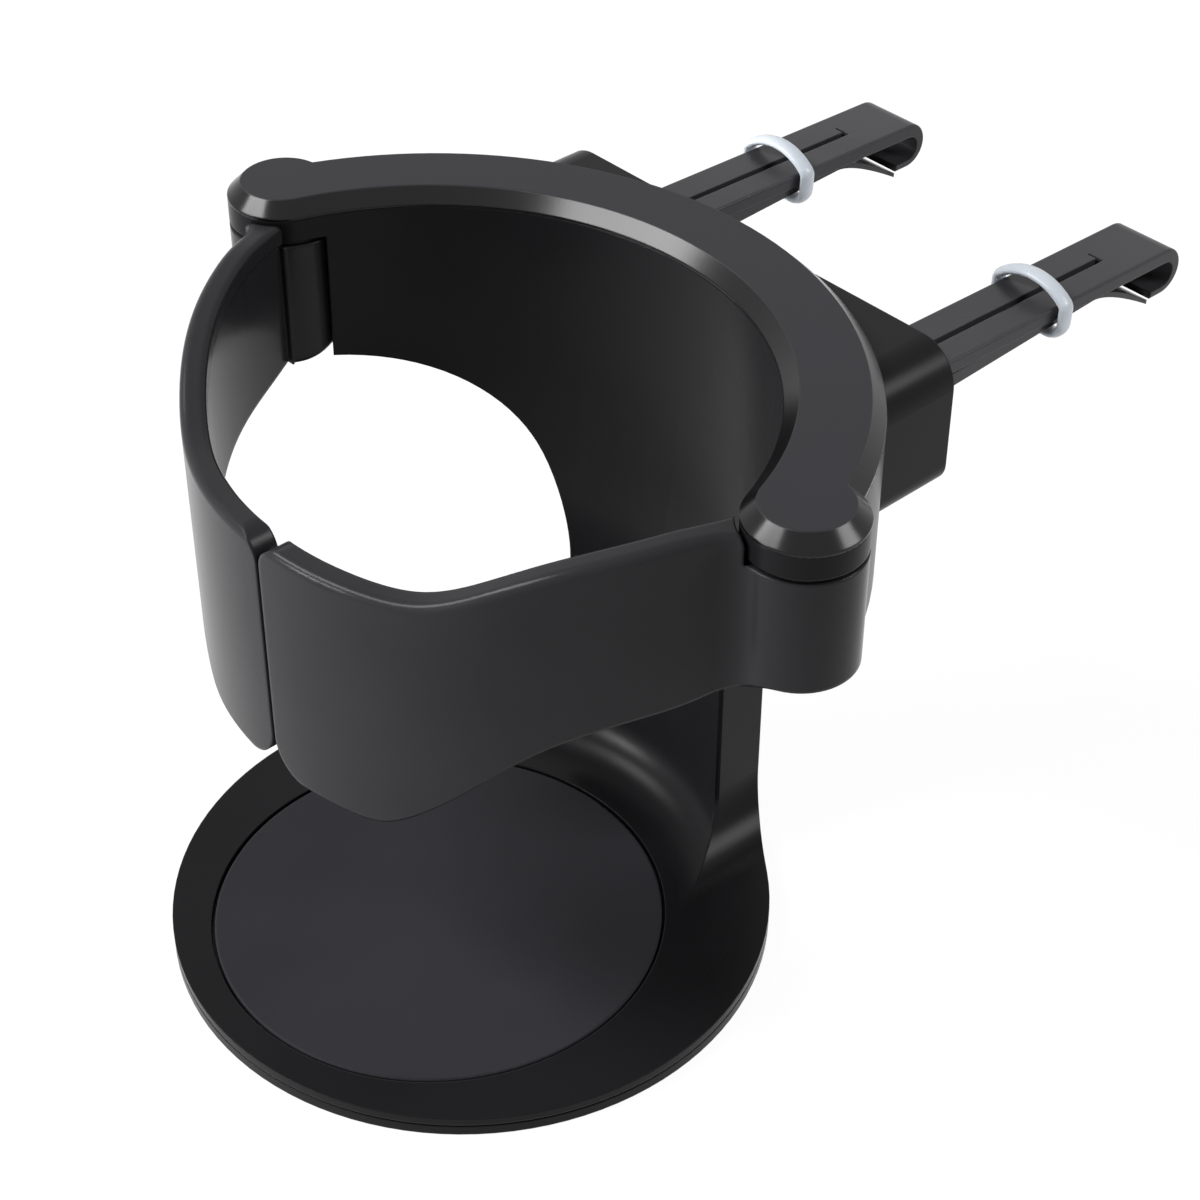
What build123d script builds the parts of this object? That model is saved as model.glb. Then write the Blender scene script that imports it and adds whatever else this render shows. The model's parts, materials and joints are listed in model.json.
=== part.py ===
"""Car cup holder for an air vent: a ring body on a round tray, two sprung arms, two vent clips.

Frame: Z is the cup's axis and points up, +Y points to the vent, z = 0 is the tray's underside.
Lengths are in millimetres.
"""
import os
from math import acos, asin, atan2, cos, degrees, radians, sin, sqrt

from build123d import *

# Ring and back shell
overall_height = 80.5
bore_radius = 38.3
ring_width = 10.7
ring_depth = 21.0
wall = 2.2
cover_thickness = 2.0
cover_bevel = 1.65

# Spine and tray
spine_half_width = 13.6
spine_step = 2.1
spine_back_step = 1.7
spine_depth = 5.5
spine_lean_top = 57.0
spine_lean_bottom = 34.0
gusset_start = 32.0
gusset_thickness = 2.6
spine_fillet = 7.0
spine_groove_radius = 0.45
tray_radius = 36.7
tray_thickness = 2.6
rim_groove = 0.25
pad_margin = 9.4
pad_shift = 5.3
pad_thickness = 0.9
pad_gap = 0.4
pad_edge = 0.25

# Rear block that carries the clips
block_half_width = 31.7
block_step = 0.2
block_drop = 3.0
block_height = 18.0
block_top_radius = 5.0
block_bottom_radius = 3.0

# Hinges
knuckle_radius = 6.58
hinge_angle = 70.88
collar_height = 2.8
washer_thickness = 0.4
washer_gap = 0.2
washer_inset = 0.35
barrel_length = 13.75
barrel_clearance = 0.6
pin_radius = 1.5
pin_fit = 0.05
pin_head_radius = 2.8
pin_head_height = 1.5
pin_head_clearance = 0.3
pin_head_edge = 0.4
spring_wire = 0.8
spring_radius = 3.1
spring_turns = 3
spring_pitch = 1.1
spring_clearance = 0.35
spring_leg = 1.9
spring_leg_depth = 1.6
spring_notch_radius = 4.2
spring_notch_width = 2.4

# Arms
arm_setback = 2.7
arm_inset = 2.25
arm_shift = 0.7
arm_bend_angle = 48.0
arm_bend_growth = 8.0
arm_lip_depth = 0.8
arm_thickness = 3.0
arm_tip_gap = 0.25
arm_lip_height = 2.4
arm_tip_drop = 10.4
arm_tip_height = 30.9
arm_valley_radius = 4.0
arm_cover_gap = 0.3
arm_tip_radius = 4.5
arm_tip_top_radius = 3.2
arm_edge = 1.0
arm_lip_edge = 0.7
arm_travel = 40.0
arm_relief_angle = 73.7
arm_plate_angle = 79.5
collar_clearance = 0.45

# Vent clips and their silicone rings
clip_x = 20.9
clip_width = 8.6
clip_length = 49.5
clip_drop = 10.45
clip_pitch = 2.0
clip_bar = 1.7
clip_root_height = 4.2
clip_shoulder = 5.0
clip_tab_reach = 1.9
clip_tab_width = 5.2
clip_edge = 0.3
clip_fit = 0.1
hook_radius = 3.0
hook_thickness = 0.9
hook_reach = 5.0
hook_lip_angle = 1.0
slit_start = 1.5
slit_gap = 0.6
slit_end = 12.8
slit_end_gap = 0.15
leaf_drop = 2.5
leaf_flare = 33.8
leaf_length = 45.4
leaf_tip_drop = 7.5
leaf_tip_thickness = 0.6
leaf_tip_width = 6.6
slot_offset = 0.35
slot_width = 0.9
slot_depth = 0.8
slot_end = 38.6
mark_length = 1.7
mark_width = 0.4
ring_band = 2.2
ring_thickness = 1.2
ring_seat = 26.4
ring_clearance = 0.2
ring_drop = 3.3
ring_arch = 2.1
ring_top_corner = 1.0
ring_bottom_corner = 1.85

# Fasteners and cover pegs
screw_radius = 1.0
screw_head_radius = 1.7
screw_head_height = 1.3
screw_length = 7.0
peg_radius = 1.2
peg_length = 5.0
peg_fit = 0.05
peg_angles = (-48.0, 0.0, 48.0)

# Levels and angles that follow from the sizes above
rim_z = overall_height - cover_thickness
floor_z = overall_height - ring_depth
collar_z = rim_z - collar_height
barrel_top = collar_z - washer_thickness - washer_gap
barrel_bottom = barrel_top - barrel_length
ring_radius = bore_radius + ring_width
spine_bore_radius = bore_radius - spine_step
block_back_y = ring_radius + block_step
tray_center_y = spine_bore_radius + spine_depth - tray_radius
spine_back_radius = tray_radius + spine_back_step
pad_radius = tray_radius - pad_margin
pad_center_y = tray_center_y - pad_shift
hinge_distance = bore_radius + knuckle_radius
hinge_x = hinge_distance * sin(radians(hinge_angle))
hinge_y = hinge_distance * cos(radians(hinge_angle))
arm_center_y = hinge_y + arm_setback
arm_lip_radius = bore_radius - arm_inset
arm_face_radius = arm_lip_radius + arm_lip_depth
arm_outer_radius = arm_lip_radius + arm_thickness
spring_pocket_radius = spring_radius + spring_wire / 2 + spring_clearance
spring_pocket_depth = spring_turns * spring_pitch + spring_wire + 2 * spring_clearance
coil_z = barrel_top - spring_pocket_depth + spring_clearance + spring_wire / 2
channel_radius = (bore_radius + ring_radius) / 2
channel_width = ring_radius - bore_radius - 2 * wall
clip_top = overall_height - clip_drop
clip_bottom = clip_top - clip_root_height
clip_screw_y = sqrt(channel_radius**2 - clip_x**2)
clip_shoulder_y = block_back_y - clip_shoulder
hinges = [(-hinge_x, hinge_y), (hinge_x, hinge_y)]
clip_screws_at = [(-clip_x, clip_screw_y), (clip_x, clip_screw_y)]
channel_end = knuckle_radius + barrel_clearance + wall + channel_width / 2
channel_angle = hinge_angle - degrees(channel_end / channel_radius)

os.makedirs("parts", exist_ok=True)


def ring_sector(inner, outer, half_angle):
    """Face of a ring between two radii, centred on +Y."""
    with BuildLine() as outline:
        low = CenterArc((0, 0), inner, 90 - half_angle, 2 * half_angle)
        high = CenterArc((0, 0), outer, 90 - half_angle, 2 * half_angle)
        Line(low @ 0, high @ 0)
        Line(low @ 1, high @ 1)
    make_face(outline.edges())


def ring_plan(inset=0.0):
    """Half-ring whose ends swell into round knuckles over the hinges, drawn in by an inset."""
    bore = bore_radius + inset
    rim = ring_radius - inset
    knuckle = knuckle_radius - inset
    reach = (hinge_distance**2 + rim**2 - knuckle**2) / (2 * hinge_distance * rim)
    notch_angle = hinge_angle - degrees(acos(reach))
    notch_x, notch_y = polar(rim, notch_angle)
    start = 270 - hinge_angle
    swing = degrees(atan2(notch_y - hinge_y, notch_x - hinge_x)) + 360 - start
    with BuildLine() as outline:
        CenterArc((0, 0), bore, 90 - hinge_angle, 2 * hinge_angle)
        CenterArc((0, 0), rim, 90 - notch_angle, 2 * notch_angle)
        CenterArc((hinge_x, hinge_y), knuckle, start, swing)
        CenterArc((-hinge_x, hinge_y), knuckle, 180 - start, -swing)
    make_face(outline.edges())


def polar(radius, angle):
    """Point at an angle from +Y, positive toward +X."""
    return (radius * sin(radians(angle)), radius * cos(radians(angle)))


pegs = [polar(channel_radius, angle) for angle in peg_angles]

with BuildPart() as cup_bore:
    # Leans in toward the foot of the spine
    with BuildSketch(Plane.XZ):
        with BuildLine():
            low = Polyline((0, tray_thickness), (spine_bore_radius, tray_thickness),
                           (spine_bore_radius, spine_lean_bottom))
            middle = (spine_lean_bottom + spine_lean_top) / 2
            lean = Bezier(low @ 1, (spine_bore_radius, middle), (bore_radius, middle), (bore_radius, spine_lean_top))
            Polyline(lean @ 1, (bore_radius, overall_height), (0, overall_height), low @ 0)
        make_face()
    revolve(axis=Axis.Z)

# Wall below the ring, trimmed to a T seen from the front
with BuildPart() as back_panel:
    with BuildSketch(Plane.XY):
        ring_sector(spine_bore_radius - 2, bore_radius + gusset_thickness, hinge_angle)
    extrude(amount=floor_z + wall)
    with BuildSketch(Plane.XZ):
        with BuildLine():
            foot = Line((0, 0), (spine_half_width, 0))
            side = Line(foot @ 1, (spine_half_width, gusset_start))
            arch_foot = (spine_half_width, gusset_start + 12)
            arch_head = (spine_half_width + 8.4, floor_z - 5)
            arch_end = (hinge_x - knuckle_radius + 1, floor_z + 0.5)
            arch = Bezier(side @ 1, arch_foot, arch_head, arch_end)
            Polyline(arch @ 1, (ring_radius, floor_z + 0.5), (ring_radius, rim_z), (0, rim_z))
            mirror(about=Plane.YZ)
        make_face()
    extrude(amount=ring_radius, both=True, mode=Mode.INTERSECT)
    add(cup_bore.part, mode=Mode.SUBTRACT)

# Dark line down each front edge of the spine, running out along the mitre of the foot's fillets
edge_y = sqrt(spine_bore_radius**2 - spine_half_width**2)
front_normal = Vector(-spine_half_width, -edge_y, 0).normalized()
mitre = (front_normal + Vector(1, 0, 0)).normalized()
mitre_reach = spine_fillet / front_normal.dot(mitre)
mitre_plane = Plane(
    origin=(spine_half_width, edge_y, tray_thickness),
    x_dir=(mitre.X, mitre.Y, 0),
    z_dir=(mitre.Y, -mitre.X, 0),
)
with BuildPart() as spine_groove:
    with BuildLine(mitre_plane) as groove_path:
        drop = Line((0, gusset_start - tray_thickness - 3), (0, spine_fillet))
        EllipticalCenterArc(
            (mitre_reach, spine_fillet), mitre_reach, spine_fillet - 1.5 * spine_groove_radius, 180, arc_size=90
        )
    with BuildSketch(Plane(origin=groove_path.line @ 0, z_dir=groove_path.line % 0)):
        Circle(spine_groove_radius)
    sweep(path=groove_path.line)
    mirror(about=Plane.YZ)

# Foot of the spine: its cheeks run tangent onto the tray's rim
spine_angle = asin(spine_half_width / spine_back_radius)
cheek_angle = spine_angle + acos(tray_radius / spine_back_radius)
cheek_top = (spine_half_width, tray_center_y + spine_back_radius * cos(spine_angle))
cheek_foot = (tray_radius * sin(cheek_angle), tray_center_y + tray_radius * cos(cheek_angle))
with BuildPart() as spine:
    with BuildSketch(Plane.XY):
        with Locations((0, tray_center_y)):
            Circle(spine_back_radius)
        with Locations((0, spine_bore_radius - 2 * spine_fillet)):
            Rectangle(2 * spine_half_width, ring_radius, align=(Align.CENTER, Align.MIN), mode=Mode.INTERSECT)
    extrude(amount=floor_z + wall)
    add(cup_bore.part, mode=Mode.SUBTRACT)
    with BuildSketch(Plane.XY):
        with Locations((0, tray_center_y)):
            Circle(spine_back_radius)
    extrude(amount=tray_thickness)
    # Foot fillets, made on one side and mirrored
    split(bisect_by=Plane.YZ)
    foot_edges = spine.edges().filter_by_position(Axis.Z, tray_thickness - 0.01, tray_thickness + 0.01)
    foot_edges = foot_edges.filter_by(lambda edge: (edge @ 0.5).Y > edge_y - 1 and (edge @ 0.5).X > 1)
    fillet(foot_edges, spine_fillet)
    with BuildSketch(Plane.XY):
        with Locations((0, tray_center_y)):
            Circle(tray_radius)
        with BuildLine():
            Polyline((0, tray_center_y), cheek_foot, cheek_top, (0, ring_radius), (0, tray_center_y))
        make_face()
    extrude(amount=floor_z + wall, mode=Mode.INTERSECT)
    mirror(about=Plane.YZ)
    add(back_panel.part)
    add(spine_groove.part, mode=Mode.SUBTRACT)

channel_arc = CenterArc((0, 0), channel_radius, 90 - channel_angle, 2 * channel_angle, mode=Mode.PRIVATE)
with BuildPart() as main_body:
    # Ring, knuckle collars and rear block
    with BuildSketch(Plane.XY.offset(floor_z)):
        ring_sector(bore_radius - 1, ring_radius, hinge_angle)
    extrude(amount=collar_z - floor_z)
    with BuildSketch(Plane.XY.offset(collar_z)):
        ring_plan()
    extrude(amount=collar_height)
    with BuildSketch(Plane.XZ.offset(-block_back_y)) as block:
        with Locations((0, overall_height - block_drop - block_height / 2)):
            Rectangle(2 * block_half_width, block_height)
        fillet(block.vertices().group_by(Axis.Y)[-1], block_top_radius)
        fillet(block.vertices().group_by(Axis.Y)[0], block_bottom_radius)
    extrude(amount=block_back_y - sqrt(ring_radius**2 - block_half_width**2) + wall)
    add(cup_bore.part, mode=Mode.SUBTRACT)
    add(spine.part)
    # Room for the arm barrels, holes for the pins and for the springs' legs
    with BuildSketch(Plane.XY.offset(gusset_start)):
        with Locations(*hinges):
            Circle(knuckle_radius + barrel_clearance)
    extrude(amount=collar_z - gusset_start, mode=Mode.SUBTRACT)
    with BuildSketch(Plane.XY.offset(collar_z)):
        with Locations(*hinges):
            Circle(pin_radius)
    extrude(amount=collar_height, mode=Mode.SUBTRACT)
    with BuildSketch(Plane.XY.offset(collar_z)):
        with Locations((hinge_x + spring_radius, hinge_y), (-hinge_x - spring_radius, hinge_y)):
            Circle(spring_wire / 2)
    extrude(amount=spring_leg_depth, mode=Mode.SUBTRACT)
    # Channel under the cover, with sockets for its pegs and bosses for the clip screws
    with BuildSketch(Plane.XY.offset(floor_z + wall)):
        SlotArc(channel_arc, channel_width)
    extrude(amount=ring_depth, mode=Mode.SUBTRACT)
    with BuildSketch(Plane.XY.offset(floor_z)):
        with Locations(*pegs):
            Circle(peg_radius + wall)
    extrude(amount=rim_z - floor_z)
    with BuildSketch(Plane.XY.offset(rim_z)):
        with Locations(*pegs):
            Circle(peg_radius + peg_fit)
    extrude(amount=-peg_length - wall, mode=Mode.SUBTRACT)
    with BuildSketch(Plane.XY.offset(floor_z)):
        with Locations(*clip_screws_at):
            Circle(screw_radius + wall)
    extrude(amount=clip_bottom - floor_z)
    with BuildSketch(Plane.XY.offset(clip_bottom)):
        with Locations(*clip_screws_at):
            Circle(screw_radius)
    extrude(amount=clip_root_height - screw_length, mode=Mode.SUBTRACT)
    with BuildSketch(Plane.XZ.offset(-block_back_y)):
        with Locations((clip_x, clip_bottom), (-clip_x, clip_bottom)):
            Rectangle(clip_width + 2 * clip_fit, clip_root_height + clip_fit, align=(Align.CENTER, Align.MIN))
    extrude(amount=block_back_y - clip_screw_y, mode=Mode.SUBTRACT)
    with BuildSketch(Plane.XY.offset(clip_top)):
        with Locations(*clip_screws_at):
            Circle(screw_head_radius + 2 * clip_fit)
    extrude(amount=ring_depth, mode=Mode.SUBTRACT)
    # Pad recess and the line round the tray's rim, as far as the spine's cheeks
    with BuildSketch(Plane.XY.offset(tray_thickness)):
        with Locations((0, pad_center_y)):
            Circle(pad_radius + pad_gap)
    extrude(amount=-pad_thickness, mode=Mode.SUBTRACT)
    with BuildSketch(Plane.XY.offset(tray_thickness / 2)):
        with Locations((0, tray_center_y)):
            Circle(tray_radius + 1)
            Circle(tray_radius - rim_groove, mode=Mode.SUBTRACT)
        with Locations((0, cheek_foot[1])):
            Rectangle(2 * ring_radius, ring_radius, align=(Align.CENTER, Align.MIN), mode=Mode.SUBTRACT)
    extrude(amount=rim_groove, mode=Mode.SUBTRACT)
main_body.part.label = "main_body"
export_step(main_body.part, "parts/main_body.step")

with BuildPart() as top_cover:
    with BuildSketch(Plane.XY.offset(rim_z)):
        ring_plan()
    extrude(amount=cover_thickness - cover_bevel)
    with BuildSketch(Plane.XY.offset(overall_height - cover_bevel)):
        ring_plan()
    with BuildSketch(Plane.XY.offset(overall_height)):
        ring_plan(cover_bevel)
    loft(ruled=True)
    with BuildSketch(Plane.XY.offset(rim_z)):
        with Locations(*pegs):
            Circle(peg_radius)
    extrude(amount=-peg_length)
top_cover.part.label = "top_cover"
export_step(top_cover.part, "parts/top_cover.step")

with BuildPart() as base_pad:
    with BuildSketch(Plane.XY.offset(tray_thickness - pad_thickness)):
        with Locations((0, pad_center_y)):
            Circle(pad_radius)
    extrude(amount=pad_thickness)
    fillet(base_pad.faces().sort_by(Axis.Z)[-1].edges(), pad_edge)
base_pad.part.label = "base_pad"
export_step(base_pad.part, "parts/base_pad.step")

# Arms: a curved plate on a hinge barrel, cut to its side view along the plate's middle normal
arm_view = Plane(
    origin=(0, arm_center_y, 0),
    x_dir=(cos(radians(45)), sin(radians(45)), 0),
    z_dir=(sin(radians(45)), -cos(radians(45)), 0),
)
arm_tip_top = overall_height - arm_tip_drop
arm_hinge_top = rim_z - arm_cover_gap
arm_tip_bottom = arm_tip_top - arm_tip_height
arm_end = (hinge_x + hinge_y - arm_center_y) / sqrt(2)


def arm_profile(lowered):
    """Side view of an arm, with its top edge lowered for the lip's underside."""
    rise = arm_hinge_top - arm_tip_top
    top = arm_tip_top - lowered
    with BuildLine() as outline:
        level = Line((-arm_outer_radius, top), (-17, top))
        crest = Spline(
            level @ 1,
            (-9.6, top + 0.06 * rise),
            (-1.9, top + 0.45 * rise),
            (5.7, top + 0.79 * rise),
            (13.2, top + 0.97 * rise),
            (arm_end, top + rise),
            tangents=((1, 0), (1, 0)),
        )
        back = Polyline(crest @ 1, (ring_radius, top + rise), (ring_radius, barrel_bottom),
                        (arm_end - 2, barrel_bottom))
        keel = Spline(
            back @ 1,
            (arm_end - 5.2, barrel_bottom - 1.3),
            (arm_end - 8.6, barrel_bottom - 2.9),
            (arm_end - 16, barrel_bottom - 4.6),
            (3, arm_tip_bottom + 14.4),
            (-6.5, arm_tip_bottom + 6.8),
            (-13, arm_tip_bottom + 1.5),
            (-19.5, arm_tip_bottom),
            tangents=((-1, 0), (-1, 0)),
        )
        Polyline(keel @ 1, (-arm_outer_radius, arm_tip_bottom), level @ 0)
    make_face(outline.edges())


def arm_band(inner, outer, start, end):
    """Plan of an arm's plate between two radii: a round bow that opens out toward the hinge."""
    bend_x = arm_shift - arm_bend_growth * sin(radians(arm_bend_angle))
    bend_y = arm_center_y + arm_bend_growth * cos(radians(arm_bend_angle))
    round_turn = arm_bend_angle - start
    open_turn = end - arm_bend_angle
    with BuildLine() as outline:
        near = CenterArc((arm_shift, arm_center_y), inner, start - 90, round_turn)
        far = CenterArc((arm_shift, arm_center_y), outer, start - 90, round_turn)
        near_end = CenterArc((bend_x, bend_y), inner + arm_bend_growth, arm_bend_angle - 90, open_turn)
        far_end = CenterArc((bend_x, bend_y), outer + arm_bend_growth, arm_bend_angle - 90, open_turn)
        Line(near @ 0, far @ 0)
        Line(near_end @ 1, far_end @ 1)
    make_face(outline.edges())


with BuildPart() as lip_relief:
    with BuildSketch(Plane.XY):
        arm_band(arm_face_radius - 8, arm_face_radius, -20, arm_relief_angle)
    extrude(amount=overall_height)
    with BuildSketch(arm_view):
        arm_profile(arm_lip_height)
    extrude(amount=2 * ring_radius, mode=Mode.INTERSECT)


def crest_edges():
    """Edges along the middle of the right arm's crest, the inner one first."""
    along = right_arm.edges().filter_by(lambda edge: edge.length > 0.5 * arm_outer_radius)
    middle = along.filter_by(lambda edge: (edge @ 0.5).X < 0.7 * arm_outer_radius)
    return middle.sort_by(Axis.Z)[-2:].sort_by_distance((arm_shift, arm_center_y, arm_tip_top))


notch_arc = CenterArc((0, 0), spring_notch_radius, 0, -arm_travel, mode=Mode.PRIVATE)
with BuildPart() as right_arm:
    with BuildSketch(Plane.XY) as arm_plan:
        arm_band(arm_lip_radius, arm_outer_radius, -5, arm_plate_angle)
        with Locations((arm_tip_gap, 0)):
            Rectangle(ring_radius, 2 * ring_radius, align=(Align.MIN, Align.CENTER), mode=Mode.INTERSECT)
        with Locations((hinge_x, hinge_y)):
            Circle(knuckle_radius)
        valley = arm_plan.vertices().filter_by(lambda v: v.X > arm_lip_radius * 0.9).sort_by(Axis.Y)[0]
        fillet(valley, arm_valley_radius)
    extrude(amount=overall_height)
    with BuildSketch(arm_view):
        arm_profile(0)
    extrude(amount=2 * ring_radius, mode=Mode.INTERSECT)
    # Room for the collar above the barrel, and the step under the lip
    with BuildSketch(Plane.XY.offset(barrel_top)):
        with Locations((hinge_x, hinge_y)):
            Circle(knuckle_radius + collar_clearance)
    extrude(amount=overall_height, mode=Mode.SUBTRACT)
    add(lip_relief.part, mode=Mode.SUBTRACT)
    # Rounded crest, lip and tip
    fillet(crest_edges()[-1], arm_edge)
    fillet(crest_edges()[0], arm_lip_edge)
    tip = right_arm.edges().filter_by_position(Axis.X, arm_tip_gap - 0.01, arm_tip_gap + 0.01)
    fillet(tip.filter_by(lambda edge: abs((edge % 0.5).Y) > 0.9).sort_by(Axis.Z)[0], arm_tip_radius)
    with BuildSketch(Plane.XZ):
        with BuildLine():
            round_x = arm_tip_gap + arm_tip_top_radius
            round_z = arm_tip_top - arm_tip_top_radius
            bow = CenterArc((round_x, round_z), arm_tip_top_radius, 90, 90)
            Polyline(bow @ 0, (round_x, overall_height), (-wall, overall_height), (-wall, round_z), bow @ 1)
        make_face()
    extrude(amount=ring_radius, both=True, mode=Mode.SUBTRACT)
    # Hinge bore, spring pocket with a notch for the spring's leg, recess for the pin's head
    with BuildSketch(Plane.XY):
        with Locations((hinge_x, hinge_y)):
            Circle(pin_radius + pin_fit)
    extrude(amount=overall_height, mode=Mode.SUBTRACT)
    with BuildSketch(Plane.XY.offset(barrel_top)):
        with Locations((hinge_x, hinge_y)):
            Circle(spring_pocket_radius)
            SlotArc(notch_arc, spring_notch_width)
    extrude(amount=-spring_pocket_depth, mode=Mode.SUBTRACT)
    with BuildSketch(Plane.XY.offset(barrel_bottom)):
        with Locations((hinge_x, hinge_y)):
            Circle(pin_head_radius + pin_head_clearance)
    extrude(amount=pin_head_height + washer_gap, mode=Mode.SUBTRACT)
right_arm.part.label = "right_arm"
export_step(right_arm.part, "parts/right_arm.step")

with BuildPart() as left_arm:
    mirror(right_arm.part, about=Plane.YZ)
left_arm.part.label = "left_arm"
export_step(left_arm.part, "parts/left_arm.step")

# Hinge pins, pressed into the collars from below
with BuildPart() as right_hinge_pin:
    with BuildSketch(Plane.XY.offset(barrel_bottom)):
        with Locations((hinge_x, hinge_y)):
            Circle(pin_head_radius)
    extrude(amount=pin_head_height)
    fillet(right_hinge_pin.edges().sort_by(Axis.Z)[0], pin_head_edge)
    with BuildSketch(Plane.XY.offset(barrel_bottom + pin_head_height)):
        with Locations((hinge_x, hinge_y)):
            Circle(pin_radius)
    extrude(amount=rim_z - barrel_bottom - pin_head_height)
right_hinge_pin.part.label = "right_hinge_pin"
export_step(right_hinge_pin.part, "parts/right_hinge_pin.step")

with BuildPart() as left_hinge_pin:
    mirror(right_hinge_pin.part, about=Plane.YZ)
left_hinge_pin.part.label = "left_hinge_pin"
export_step(left_hinge_pin.part, "parts/left_hinge_pin.step")

# Washers between the collars and the barrels
with BuildPart() as right_hinge_washer:
    with BuildSketch(Plane.XY.offset(collar_z)):
        with Locations((hinge_x, hinge_y)):
            Circle(knuckle_radius - washer_inset)
            Circle(spring_pocket_radius + washer_gap, mode=Mode.SUBTRACT)
    extrude(amount=-washer_thickness)
right_hinge_washer.part.label = "right_hinge_washer"
export_step(right_hinge_washer.part, "parts/right_hinge_washer.step")

with BuildPart() as left_hinge_washer:
    mirror(right_hinge_washer.part, about=Plane.YZ)
left_hinge_washer.part.label = "left_hinge_washer"
export_step(left_hinge_washer.part, "parts/left_hinge_washer.step")

# Torsion springs: a coil round the pin, one leg up in the collar, one out in the barrel's notch
coil_start = (hinge_x + spring_radius, hinge_y, coil_z)
with BuildPart() as right_torsion_spring:
    with BuildLine() as coil:
        Helix(spring_pitch, spring_turns * spring_pitch, spring_radius, center=(hinge_x, hinge_y, coil_z))
    with BuildSketch(Plane(origin=coil.line @ 0, z_dir=coil.line % 0)):
        Circle(spring_wire / 2)
    sweep(path=coil.line, is_frenet=True)
    with BuildSketch(Plane.XY.offset(coil_z + spring_turns * spring_pitch)):
        with Locations((hinge_x + spring_radius, hinge_y)):
            Circle(spring_wire / 2)
    extrude(amount=collar_z + spring_leg_depth - coil_z - spring_turns * spring_pitch)
    with BuildSketch(Plane(origin=coil_start, z_dir=(1, 0, 0))):
        Circle(spring_wire / 2)
    extrude(amount=spring_leg)
right_torsion_spring.part.label = "right_torsion_spring"
export_step(right_torsion_spring.part, "parts/right_torsion_spring.step")

with BuildPart() as left_torsion_spring:
    mirror(right_torsion_spring.part, about=Plane.YZ)
left_torsion_spring.part.label = "left_torsion_spring"
export_step(left_torsion_spring.part, "parts/left_torsion_spring.step")

# The clips fall a little from the rear block, so their bars are drawn in a tilted frame
fall = radians(clip_pitch)
bar_run = Vector(0, cos(fall), -sin(fall))
bar_up = Vector(0, sin(fall), cos(fall))
clip_head = Vector(clip_x, block_back_y, clip_top)
clip_side = Plane(origin=clip_head - Vector(clip_width / 2, 0, 0), x_dir=bar_run, z_dir=(1, 0, 0))
clip_face = Plane(origin=clip_head, x_dir=(1, 0, 0), z_dir=bar_up)
leaf_root_drop = clip_root_height - clip_fit
slit_top = -clip_bar - slit_end_gap

# Sprung leaf under a clip's bar, narrowing to its flared tip
with BuildPart() as clip_leaf:
    with BuildSketch(clip_side):
        with BuildLine():
            upper = Polyline((slit_start, -clip_bar - slit_gap), (slit_end, slit_top), (leaf_flare, slit_top))
            flare = Bezier(upper @ 1, (leaf_flare + 3.5, slit_top), (leaf_length, leaf_tip_thickness - leaf_tip_drop))
            tip_end = Line(flare @ 1, (leaf_length, -leaf_tip_drop))
            under = Bezier(tip_end @ 1, (leaf_flare + 3, -leaf_drop), (leaf_flare, -leaf_drop))
            Polyline(under @ 1, (ring_seat, -leaf_drop - 0.35), (slit_start, -leaf_root_drop), upper @ 0)
        make_face()
    extrude(amount=clip_width)
    with BuildSketch(clip_face):
        with BuildLine():
            Polyline((0, slit_start), (clip_width / 2, slit_start), (leaf_tip_width / 2, leaf_length),
                     (0, leaf_length))
            mirror(about=Plane.YZ)
        make_face()
    extrude(amount=-2 * leaf_tip_drop, mode=Mode.INTERSECT)

# Vent clips: a screwed-down tab, a bar with a centre slot, a hook at the end
hook_run = clip_length - hook_radius
hook_end = clip_length - hook_reach
tab_y = clip_screw_y - clip_tab_reach
with BuildPart() as right_vent_clip:
    with BuildSketch(clip_side):
        with BuildLine():
            spine = Polyline((slit_start, -leaf_root_drop), (0, -leaf_root_drop), (0, 0), (hook_run, 0))
            bend = CenterArc((hook_run, -hook_radius), hook_radius, 90, hook_lip_angle - 180)
            lip_length = ((bend @ 1).X - hook_end) / cos(radians(hook_lip_angle))
            lip = PolarLine(bend @ 1, lip_length, direction=bend % 1)
            inside = hook_radius - (clip_bar + hook_thickness) / 2
            throat = CenterArc((hook_run, -clip_bar - inside), inside, 90, hook_lip_angle - 180)
            lip_length = ((throat @ 1).X - hook_end) / cos(radians(hook_lip_angle))
            under_lip = PolarLine(throat @ 1, lip_length, direction=throat % 1)
            Line(lip @ 1, under_lip @ 1)
            Polyline(throat @ 0, (slit_start, -clip_bar), spine @ 0)
        make_face()
    extrude(amount=clip_width)
    # Softened outer edges, then the centre slot and its cross mark
    sides = right_vent_clip.edges().filter_by(Axis(clip_head, bar_run)).sort_by(SortBy.LENGTH)
    fillet(sides[-2:], clip_edge)
    with BuildSketch(clip_face):
        with Locations((slot_offset, slot_end)):
            Rectangle(slot_width, slot_end, align=(Align.CENTER, Align.MAX))
            Rectangle(mark_length, mark_width, align=(Align.MAX, Align.MAX))
    extrude(amount=-slot_depth, mode=Mode.SUBTRACT)
    # Level root through the block, ending in a narrow tab with its screw hole
    with BuildSketch(Plane.XY.offset(clip_bottom)):
        with Locations((clip_x, block_back_y)):
            Rectangle(clip_width, clip_shoulder, align=(Align.CENTER, Align.MAX))
            Rectangle(clip_tab_width, block_back_y - tab_y, align=(Align.CENTER, Align.MAX))
        with Locations((clip_x, clip_screw_y)):
            Circle(screw_radius + clip_fit, mode=Mode.SUBTRACT)
    extrude(amount=clip_root_height)
    add(clip_leaf.part)
right_vent_clip.part.label = "right_vent_clip"
export_step(right_vent_clip.part, "parts/right_vent_clip.step")

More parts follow.
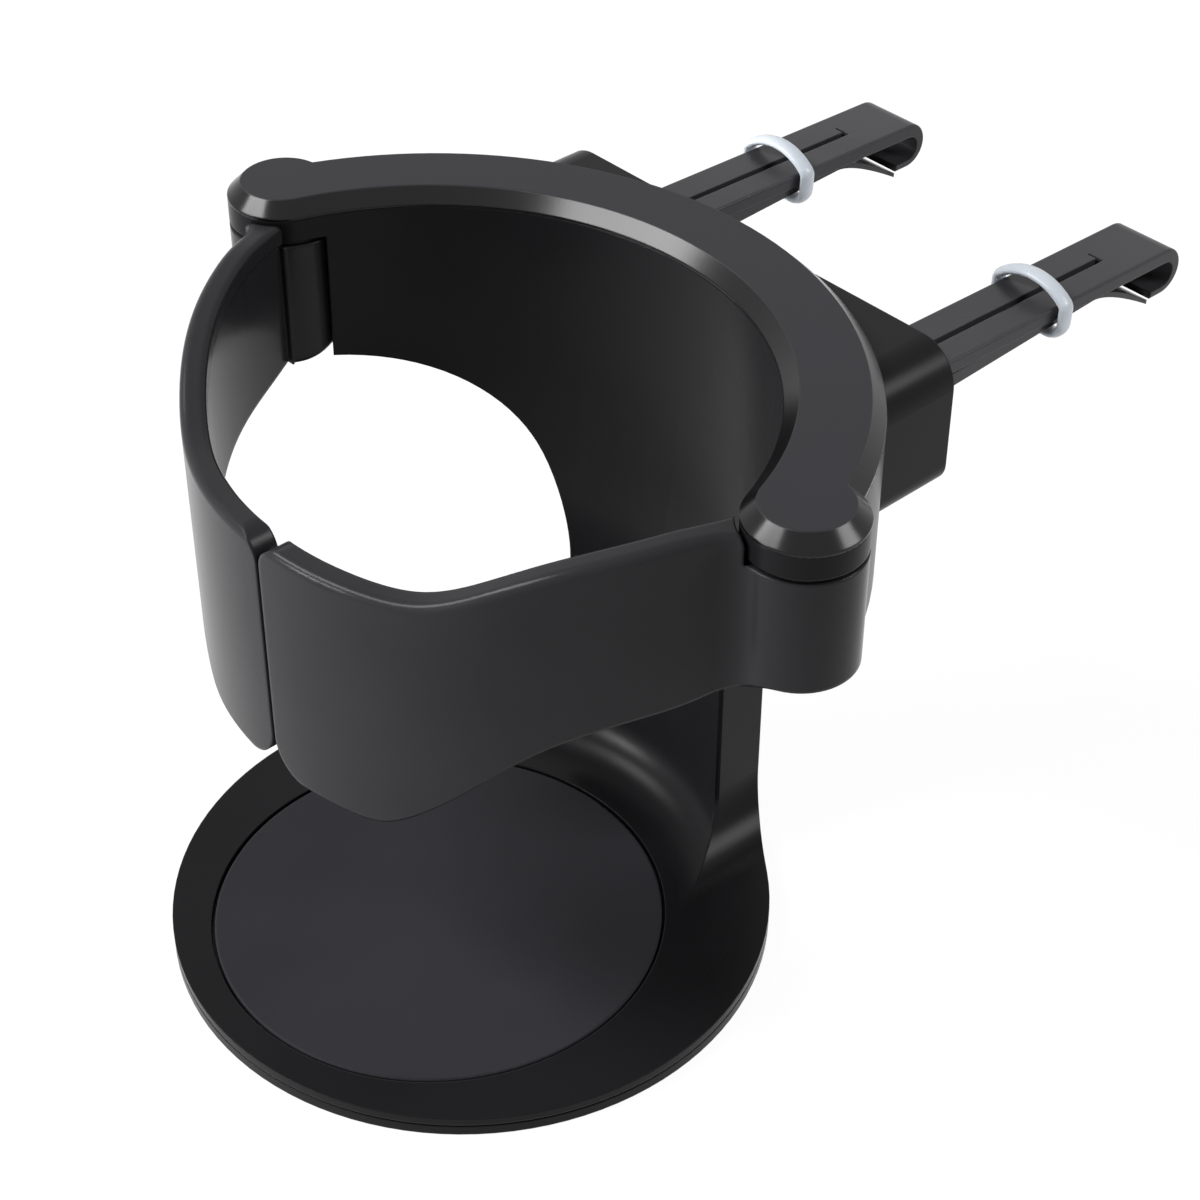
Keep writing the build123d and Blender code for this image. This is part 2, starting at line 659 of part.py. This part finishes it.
with BuildPart() as left_vent_clip:
    with Locations((-2 * clip_x, 0, 0)):
        add(right_vent_clip.part)
left_vent_clip.part.label = "left_vent_clip"
export_step(left_vent_clip.part, "parts/left_vent_clip.step")

# Silicone rings round the clips, arched over the bar, with a rounded section
loop_side = clip_width / 2 + ring_clearance + ring_thickness / 2
loop_bottom = -ring_drop - ring_thickness / 2
loop_shoulder = ring_clearance
loop_origin = clip_head + bar_run * ring_seat
with BuildSketch(Plane(origin=loop_origin, x_dir=(1, 0, 0), z_dir=-bar_run)) as loop:
    with BuildLine():
        arch = ThreePointArc((loop_side, loop_shoulder), (0, loop_shoulder + ring_arch), (-loop_side, loop_shoulder))
        Polyline(arch @ 1, (-loop_side, loop_bottom), (loop_side, loop_bottom), arch @ 0)
    make_face()
    fillet(loop.vertices().group_by(Axis.Y)[-1], ring_top_corner)
    fillet(loop.vertices().group_by(Axis.Y)[0], ring_bottom_corner)
loop_path = loop.sketch.face().outer_wire()
with BuildPart() as right_clip_ring:
    with BuildSketch(Plane(origin=loop_path @ 0, x_dir=bar_run, z_dir=loop_path % 0)):
        Ellipse(ring_band / 2, ring_thickness / 2)
    sweep(path=loop_path)
right_clip_ring.part.label = "right_clip_ring"
export_step(right_clip_ring.part, "parts/right_clip_ring.step")

with BuildPart() as left_clip_ring:
    mirror(right_clip_ring.part, about=Plane.YZ)
left_clip_ring.part.label = "left_clip_ring"
export_step(left_clip_ring.part, "parts/left_clip_ring.step")

# Screws that hold the clip tabs down on their bosses
with BuildPart() as clip_screws:
    with BuildSketch(Plane.XY.offset(clip_top)):
        with Locations(*clip_screws_at):
            Circle(screw_head_radius)
    extrude(amount=screw_head_height)
    with BuildSketch(Plane.XY.offset(clip_top)):
        with Locations(*clip_screws_at):
            Circle(screw_radius)
    extrude(amount=-screw_length)
    with BuildSketch(Plane.XY.offset(clip_top + screw_head_height)):
        with Locations(*clip_screws_at):
            Rectangle(1.2 * screw_head_radius, screw_head_radius / 4)
            Rectangle(screw_head_radius / 4, 1.2 * screw_head_radius)
    extrude(amount=-screw_head_height / 2, mode=Mode.SUBTRACT)
clip_screws.part.label = "clip_screws"
export_step(clip_screws.part, "parts/clip_screws.step")
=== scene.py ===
import json
import math

import bpy
from mathutils import Matrix, Vector


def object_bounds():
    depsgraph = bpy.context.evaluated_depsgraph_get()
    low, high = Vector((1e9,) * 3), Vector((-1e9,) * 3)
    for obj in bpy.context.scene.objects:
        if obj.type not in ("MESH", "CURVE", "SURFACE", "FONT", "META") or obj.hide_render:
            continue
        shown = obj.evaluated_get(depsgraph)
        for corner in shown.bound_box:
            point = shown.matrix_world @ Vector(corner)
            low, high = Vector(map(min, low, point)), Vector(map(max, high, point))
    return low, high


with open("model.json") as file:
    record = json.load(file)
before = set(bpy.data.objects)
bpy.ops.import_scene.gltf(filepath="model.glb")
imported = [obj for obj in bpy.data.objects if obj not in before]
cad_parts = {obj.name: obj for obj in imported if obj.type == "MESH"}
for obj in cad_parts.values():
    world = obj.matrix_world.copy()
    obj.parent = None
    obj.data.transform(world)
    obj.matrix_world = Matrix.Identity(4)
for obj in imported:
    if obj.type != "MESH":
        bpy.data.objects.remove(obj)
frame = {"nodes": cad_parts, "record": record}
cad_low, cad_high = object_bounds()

# Camera, in metres and degrees, at the photograph's viewing angle
CAMERA_PLACE = Vector((0.18042, -0.13908, 0.23252))
CAMERA_AZIMUTH = 47.51
CAMERA_ELEVATION = 38.66
CAMERA_ROLL = 0.27
CAMERA_LENS = 78.58
CAMERA_SENSOR = 36.0
CAMERA_CLIP = (0.01, 20.0)

# Stage
FLOOR_HALF_WIDTH = 6.0
FLOOR_DROP = 0.0002
FLOOR_COLOUR = (0.82, 0.82, 0.82, 1)
FLOOR_SHADOW_SHARE = 0.10
FLOOR_GLOW = 1.05
WHITE = (1, 1, 1, 1)
AMBIENT = 0.10

# Soft boxes: name, direction from the object, distance, width, height, tilt, radiance, seen in gloss
SOFT_BOXES = (
    ("key_front", (-0.38, -0.55, 0.745), 0.90, 0.56, 0.22, 31.0, 20.0, True),
    ("fill_left_low", (-0.72, -0.68, 0.14), 0.90, 0.60, 0.20, 0.0, 15.0, False),
    ("edge_front_low", (-0.36, -0.90, 0.27), 0.90, 0.26, 0.20, 0.0, 26.0, True),
    ("edge_right_back", (0.62, 0.53, 0.58), 0.80, 0.30, 0.30, 0.0, 11.0, True),
)
LIGHT_AIM = Vector((0.0, 0.01, 0.045))

# Colours of the finishes, and how far they drift over a surface
BODY_BLACK = (0.0070, 0.0069, 0.0078)
ARM_BLACK = (0.020, 0.0197, 0.0217)
COVER_GREY = (0.0115, 0.0111, 0.0142)
# Painted shade: the cover's edges below its flat top are painted darker than the top
COVER_EDGE_PAINTED_SHADE = (0.003, 0.003, 0.0032, 1)
CLIP_GREY = (0.038, 0.0373, 0.041)
RUBBER_GREY = (0.021, 0.0206, 0.024)
WASHER_BLACK = (0.012, 0.012, 0.013)
STEEL = (0.56, 0.56, 0.57)
SILICONE = (0.68, 0.73, 0.79)
TONE_SPREAD = 0.12
FINE_SPREAD = 0.05

# Grain, drift and soft edges
GRAIN_DETAIL = 3.0
GRAIN_BUMP = 0.6
FINE_GRAIN = 3200.0
PLAIN_GRAIN = 2600.0
COARSE_GRAIN = 1800.0
DRIFT_SCALE = 45.0
DRIFT_DETAIL = 2.0
DRIFT_RANGE = (0.3, 0.7)
EDGE_RADIUS = 0.00022
ARM_EDGE_RADIUS = 0.0005
EDGE_SAMPLES = 8

# The cover's flat top is this much rougher than its edges, over a thin band below its highest level; below
# that band the edges also take a painted shade
TOP_FACE_BAND = (0.00012, 0.00003)
TOP_FACE_MATT = 0.32

# Plastics and rubber by material slot: name, colour, gloss range, grain, grain height, specular, edge radius
PLASTICS = {
    "body": ("body_satin_black", BODY_BLACK, (0.25, 0.32), PLAIN_GRAIN, 0.000004, 0.09, EDGE_RADIUS),
    "cover": ("cover_satin_grey", COVER_GREY, (0.17, 0.22), FINE_GRAIN, 0.000003, 0.25, EDGE_RADIUS),
    "pad": ("pad_matt_rubber", RUBBER_GREY, (0.62, 0.72), COARSE_GRAIN, 0.00002, 0.10, EDGE_RADIUS),
    "arms": ("arms_satin_black", ARM_BLACK, (0.18, 0.24), PLAIN_GRAIN, 0.000003, 0.11, ARM_EDGE_RADIUS),
    "washers": ("washer_black", WASHER_BLACK, (0.35, 0.45), PLAIN_GRAIN, 0.000004, 0.20, EDGE_RADIUS),
    "clips": ("clips_satin_grey", CLIP_GREY, (0.24, 0.32), FINE_GRAIN, 0.000004, 0.15, EDGE_RADIUS),
}

# Small hardware by material slot: name, gloss range
STEELS = {
    "pins": ("pin_steel", (0.25, 0.31)),
    "springs": ("spring_wire", (0.28, 0.36)),
    "screws": ("screw_zinc", (0.32, 0.40)),
}

# Silicone of the clip rings
SILICONE_GLOSS = (0.25, 0.31)
SILICONE_IOR = 1.41
SILICONE_TRANSMISSION = 0.2


def grain_group():
    """Moulded grain: a fine height for bump, and a gloss and a tone that drift slowly over the surface."""
    group = bpy.data.node_groups.new("moulded_grain", "ShaderNodeTree")
    for name in ("Grain Scale", "Gloss Low", "Gloss High"):
        group.interface.new_socket(name, in_out="INPUT", socket_type="NodeSocketFloat")
    for name in ("Height", "Roughness", "Tone"):
        group.interface.new_socket(name, in_out="OUTPUT", socket_type="NodeSocketFloat")
    nodes, links = group.nodes, group.links
    inputs = nodes.new("NodeGroupInput")
    outputs = nodes.new("NodeGroupOutput")
    place = nodes.new("ShaderNodeTexCoord")
    grain = nodes.new("ShaderNodeTexNoise")
    grain.inputs["Detail"].default_value = GRAIN_DETAIL
    drift = nodes.new("ShaderNodeTexNoise")
    drift.inputs["Scale"].default_value = DRIFT_SCALE
    drift.inputs["Detail"].default_value = DRIFT_DETAIL
    spread = nodes.new("ShaderNodeMapRange")
    spread.inputs["From Min"].default_value, spread.inputs["From Max"].default_value = DRIFT_RANGE
    links.new(place.outputs["Object"], grain.inputs["Vector"])
    links.new(place.outputs["Object"], drift.inputs["Vector"])
    links.new(inputs.outputs["Grain Scale"], grain.inputs["Scale"])
    links.new(drift.outputs["Fac"], spread.inputs["Value"])
    links.new(inputs.outputs["Gloss Low"], spread.inputs["To Min"])
    links.new(inputs.outputs["Gloss High"], spread.inputs["To Max"])
    links.new(grain.outputs["Fac"], outputs.inputs["Height"])
    links.new(spread.outputs["Result"], outputs.inputs["Roughness"])
    links.new(drift.outputs["Fac"], outputs.inputs["Tone"])
    return group


def soft_edge_group():
    """Normal that rounds every sharp edge a little, as a mould does."""
    group = bpy.data.node_groups.new("soft_edges", "ShaderNodeTree")
    group.interface.new_socket("Radius", in_out="INPUT", socket_type="NodeSocketFloat")
    group.interface.new_socket("Normal", in_out="OUTPUT", socket_type="NodeSocketVector")
    nodes, links = group.nodes, group.links
    inputs = nodes.new("NodeGroupInput")
    outputs = nodes.new("NodeGroupOutput")
    rounding = nodes.new("ShaderNodeBevel")
    rounding.samples = EDGE_SAMPLES
    links.new(inputs.outputs["Radius"], rounding.inputs["Radius"])
    links.new(rounding.outputs["Normal"], outputs.inputs["Normal"])
    return group


GRAIN = grain_group()
SOFT_EDGES = soft_edge_group()


def new_material(name):
    """A material and its Principled shader."""
    material = bpy.data.materials.new(name)
    material.use_nodes = True
    return material, material.node_tree.nodes["Principled BSDF"]


def grained(material, shader, colour, spread, gloss, grain_scale):
    """Colour and gloss that drift slowly over the surface. Gives back the grain node."""
    nodes, links = material.node_tree.nodes, material.node_tree.links
    tones = nodes.new("ShaderNodeValToRGB")
    dark, light = tones.color_ramp.elements
    dark.position, light.position = DRIFT_RANGE
    dark.color = [value * (1 - spread) for value in colour] + [1]
    light.color = [value * (1 + spread) for value in colour] + [1]
    grain = nodes.new("ShaderNodeGroup")
    grain.node_tree = GRAIN
    grain.inputs["Grain Scale"].default_value = grain_scale
    grain.inputs["Gloss Low"].default_value, grain.inputs["Gloss High"].default_value = gloss
    links.new(grain.outputs["Tone"], tones.inputs["Fac"])
    links.new(tones.outputs["Color"], shader.inputs["Base Color"])
    links.new(grain.outputs["Roughness"], shader.inputs["Roughness"])
    return grain


def moulded_plastic(name, colour, gloss, grain_scale, grain_height, specular, edge):
    """Moulded plastic or rubber with a fine grain and slightly rounded edges."""
    material, shader = new_material(name)
    nodes, links = material.node_tree.nodes, material.node_tree.links
    shader.inputs["Specular IOR Level"].default_value = specular
    grain = grained(material, shader, colour, TONE_SPREAD, gloss, grain_scale)
    edges = nodes.new("ShaderNodeGroup")
    edges.node_tree = SOFT_EDGES
    edges.inputs["Radius"].default_value = edge
    bump = nodes.new("ShaderNodeBump")
    bump.inputs["Strength"].default_value = GRAIN_BUMP
    bump.inputs["Distance"].default_value = grain_height
    links.new(grain.outputs["Height"], bump.inputs["Height"])
    links.new(edges.outputs["Normal"], bump.inputs["Normal"])
    links.new(bump.outputs["Normal"], shader.inputs["Normal"])
    return material


def steel(name, gloss):
    """Bright steel for the small hardware."""
    material, shader = new_material(name)
    grained(material, shader, STEEL, FINE_SPREAD, gloss, PLAIN_GRAIN)
    shader.inputs["Metallic"].default_value = 1.0
    return material


def silicone(name):
    """Milky silicone that lets some light through."""
    material, shader = new_material(name)
    grained(material, shader, SILICONE, FINE_SPREAD, SILICONE_GLOSS, COARSE_GRAIN)
    shader.inputs["IOR"].default_value = SILICONE_IOR
    shader.inputs["Transmission Weight"].default_value = SILICONE_TRANSMISSION
    return material


def matt_top_painted_shade_edges(material, top, colour):
    """Matt flat top over glossier edges: below the top the tone gives way to a darker colour, a painted
    shade on the edges.
    """
    nodes, links = material.node_tree.nodes, material.node_tree.links
    tones = nodes["Color Ramp"]
    # The darkest stop is the painted shade of the edges below the top
    tones.color_ramp.elements.new(0.0).color = colour
    shader = nodes["Principled BSDF"]
    place = nodes.new("ShaderNodeTexCoord")
    axes = nodes.new("ShaderNodeSeparateXYZ")
    flat = nodes.new("ShaderNodeMapRange")
    flat.inputs["From Min"].default_value = top - TOP_FACE_BAND[0]
    flat.inputs["From Max"].default_value = top - TOP_FACE_BAND[1]
    shade = nodes.new("ShaderNodeMath")
    shade.operation = "MULTIPLY"
    gloss = nodes.new("ShaderNodeMath")
    gloss.operation = "MULTIPLY_ADD"
    gloss.inputs[1].default_value = TOP_FACE_MATT
    links.new(place.outputs["Object"], axes.inputs["Vector"])
    links.new(axes.outputs["Z"], flat.inputs["Value"])
    links.new(flat.outputs["Result"], shade.inputs[0])
    links.new(tones.inputs["Fac"].links[0].from_socket, shade.inputs[1])
    links.new(shade.outputs["Value"], tones.inputs["Fac"])
    links.new(flat.outputs["Result"], gloss.inputs[0])
    links.new(shader.inputs["Roughness"].links[0].from_socket, gloss.inputs[2])
    links.new(gloss.outputs["Value"], shader.inputs["Roughness"])


def dress_nodes():
    """Every CAD node takes the finish of its material slot."""
    finishes = {slot: moulded_plastic(*look) for slot, look in PLASTICS.items()}
    finishes.update({slot: steel(*look) for slot, look in STEELS.items()})
    finishes["silicone"] = silicone("ring_silicone")
    cover = frame["nodes"]["top_cover"].data
    cover_top = max(vertex.co.z for vertex in cover.vertices)
    # The cover's edges below its flat top take a painted shade
    matt_top_painted_shade_edges(finishes["cover"], cover_top, COVER_EDGE_PAINTED_SHADE)
    for part in frame["record"]["subparts"]:
        mesh = frame["nodes"][part["node"]].data
        mesh.materials.clear()
        mesh.materials.append(finishes[part["material_slot"]])


def seen_white(nodes, links):
    """Mask of the rays that see the white background: camera, glossy and transmission rays."""
    path = nodes.new("ShaderNodeLightPath")
    pair = nodes.new("ShaderNodeMath")
    pair.operation = "MAXIMUM"
    either = nodes.new("ShaderNodeMath")
    either.operation = "MAXIMUM"
    links.new(path.outputs["Is Camera Ray"], pair.inputs[0])
    links.new(path.outputs["Is Glossy Ray"], pair.inputs[1])
    links.new(pair.outputs["Value"], either.inputs[0])
    links.new(path.outputs["Is Transmission Ray"], either.inputs[1])
    return either.outputs["Value"]


def lay_floor():
    """Pale floor that shows white and keeps a faint shadow."""
    bpy.ops.object.select_all(action="DESELECT")
    bpy.ops.mesh.primitive_plane_add(size=2 * FLOOR_HALF_WIDTH, location=(0, 0, cad_low.z - FLOOR_DROP))
    floor = bpy.context.object
    floor.name = "floor"
    material = bpy.data.materials.new("floor_white")
    material.use_nodes = True
    nodes, links = material.node_tree.nodes, material.node_tree.links
    nodes.clear()
    surface = nodes.new("ShaderNodeOutputMaterial")
    matt = nodes.new("ShaderNodeBsdfDiffuse")
    matt.inputs["Color"].default_value = FLOOR_COLOUR
    glow = nodes.new("ShaderNodeEmission")
    glow.inputs["Color"].default_value = WHITE
    glow.inputs["Strength"].default_value = FLOOR_GLOW
    share = nodes.new("ShaderNodeMath")
    share.operation = "MULTIPLY"
    share.inputs[1].default_value = 1 - FLOOR_SHADOW_SHARE
    mix = nodes.new("ShaderNodeMixShader")
    links.new(seen_white(nodes, links), share.inputs[0])
    links.new(share.outputs["Value"], mix.inputs["Fac"])
    links.new(matt.outputs["BSDF"], mix.inputs[1])
    links.new(glow.outputs["Emission"], mix.inputs[2])
    links.new(mix.outputs["Shader"], surface.inputs["Surface"])
    floor.data.materials.append(material)


def light_world():
    """White where it is seen, a low even fill elsewhere."""
    world = bpy.data.worlds.new("studio")
    bpy.context.scene.world = world
    world.use_nodes = True
    nodes, links = world.node_tree.nodes, world.node_tree.links
    background = nodes["Background"]
    background.inputs["Color"].default_value = WHITE
    strength = nodes.new("ShaderNodeMapRange")
    strength.inputs["To Min"].default_value = AMBIENT
    strength.inputs["To Max"].default_value = 1.0
    links.new(seen_white(nodes, links), strength.inputs["Value"])
    links.new(strength.outputs["Result"], background.inputs["Strength"])


def hang_soft_boxes():
    """Soft boxes round the object, each set by its radiance."""
    for name, direction, distance, width, height, tilt, radiance, in_gloss in SOFT_BOXES:
        away = Vector(direction).normalized()
        lamp = bpy.data.lights.new(name, "AREA")
        lamp.shape = "RECTANGLE"
        lamp.size = width
        lamp.size_y = height
        lamp.energy = radiance * math.pi * width * height
        box = bpy.data.objects.new(name, lamp)
        facing = away.to_track_quat("Z", "Y").to_matrix().to_4x4()
        turn = facing @ Matrix.Rotation(math.radians(tilt), 4, "Z")
        box.matrix_world = Matrix.Translation(LIGHT_AIM + away * distance) @ turn
        box.visible_glossy = in_gloss
        bpy.context.scene.collection.objects.link(box)


def set_camera():
    """Camera at the photograph's place, turned by azimuth, elevation and a slight roll."""
    azimuth = math.radians(CAMERA_AZIMUTH)
    elevation = math.radians(CAMERA_ELEVATION)
    roll = math.radians(CAMERA_ROLL)
    level = math.cos(elevation)
    right = Vector((math.cos(azimuth), math.sin(azimuth), 0))
    back = Vector((math.sin(azimuth) * level, -math.cos(azimuth) * level, math.sin(elevation)))
    up = back.cross(right)
    axis_x = right * math.cos(roll) + up * math.sin(roll)
    axis_y = up * math.cos(roll) - right * math.sin(roll)
    lens = bpy.data.cameras.new("camera")
    lens.lens = CAMERA_LENS
    lens.sensor_width = CAMERA_SENSOR
    lens.clip_start, lens.clip_end = CAMERA_CLIP
    camera = bpy.data.objects.new("camera", lens)
    turn = Matrix((axis_x, axis_y, back)).transposed().to_4x4()
    camera.matrix_world = Matrix.Translation(CAMERA_PLACE) @ turn
    bpy.context.scene.collection.objects.link(camera)
    bpy.context.scene.camera = camera


dress_nodes()
lay_floor()
light_world()
hang_soft_boxes()
set_camera()
bpy.context.scene.view_settings.view_transform = "Standard"
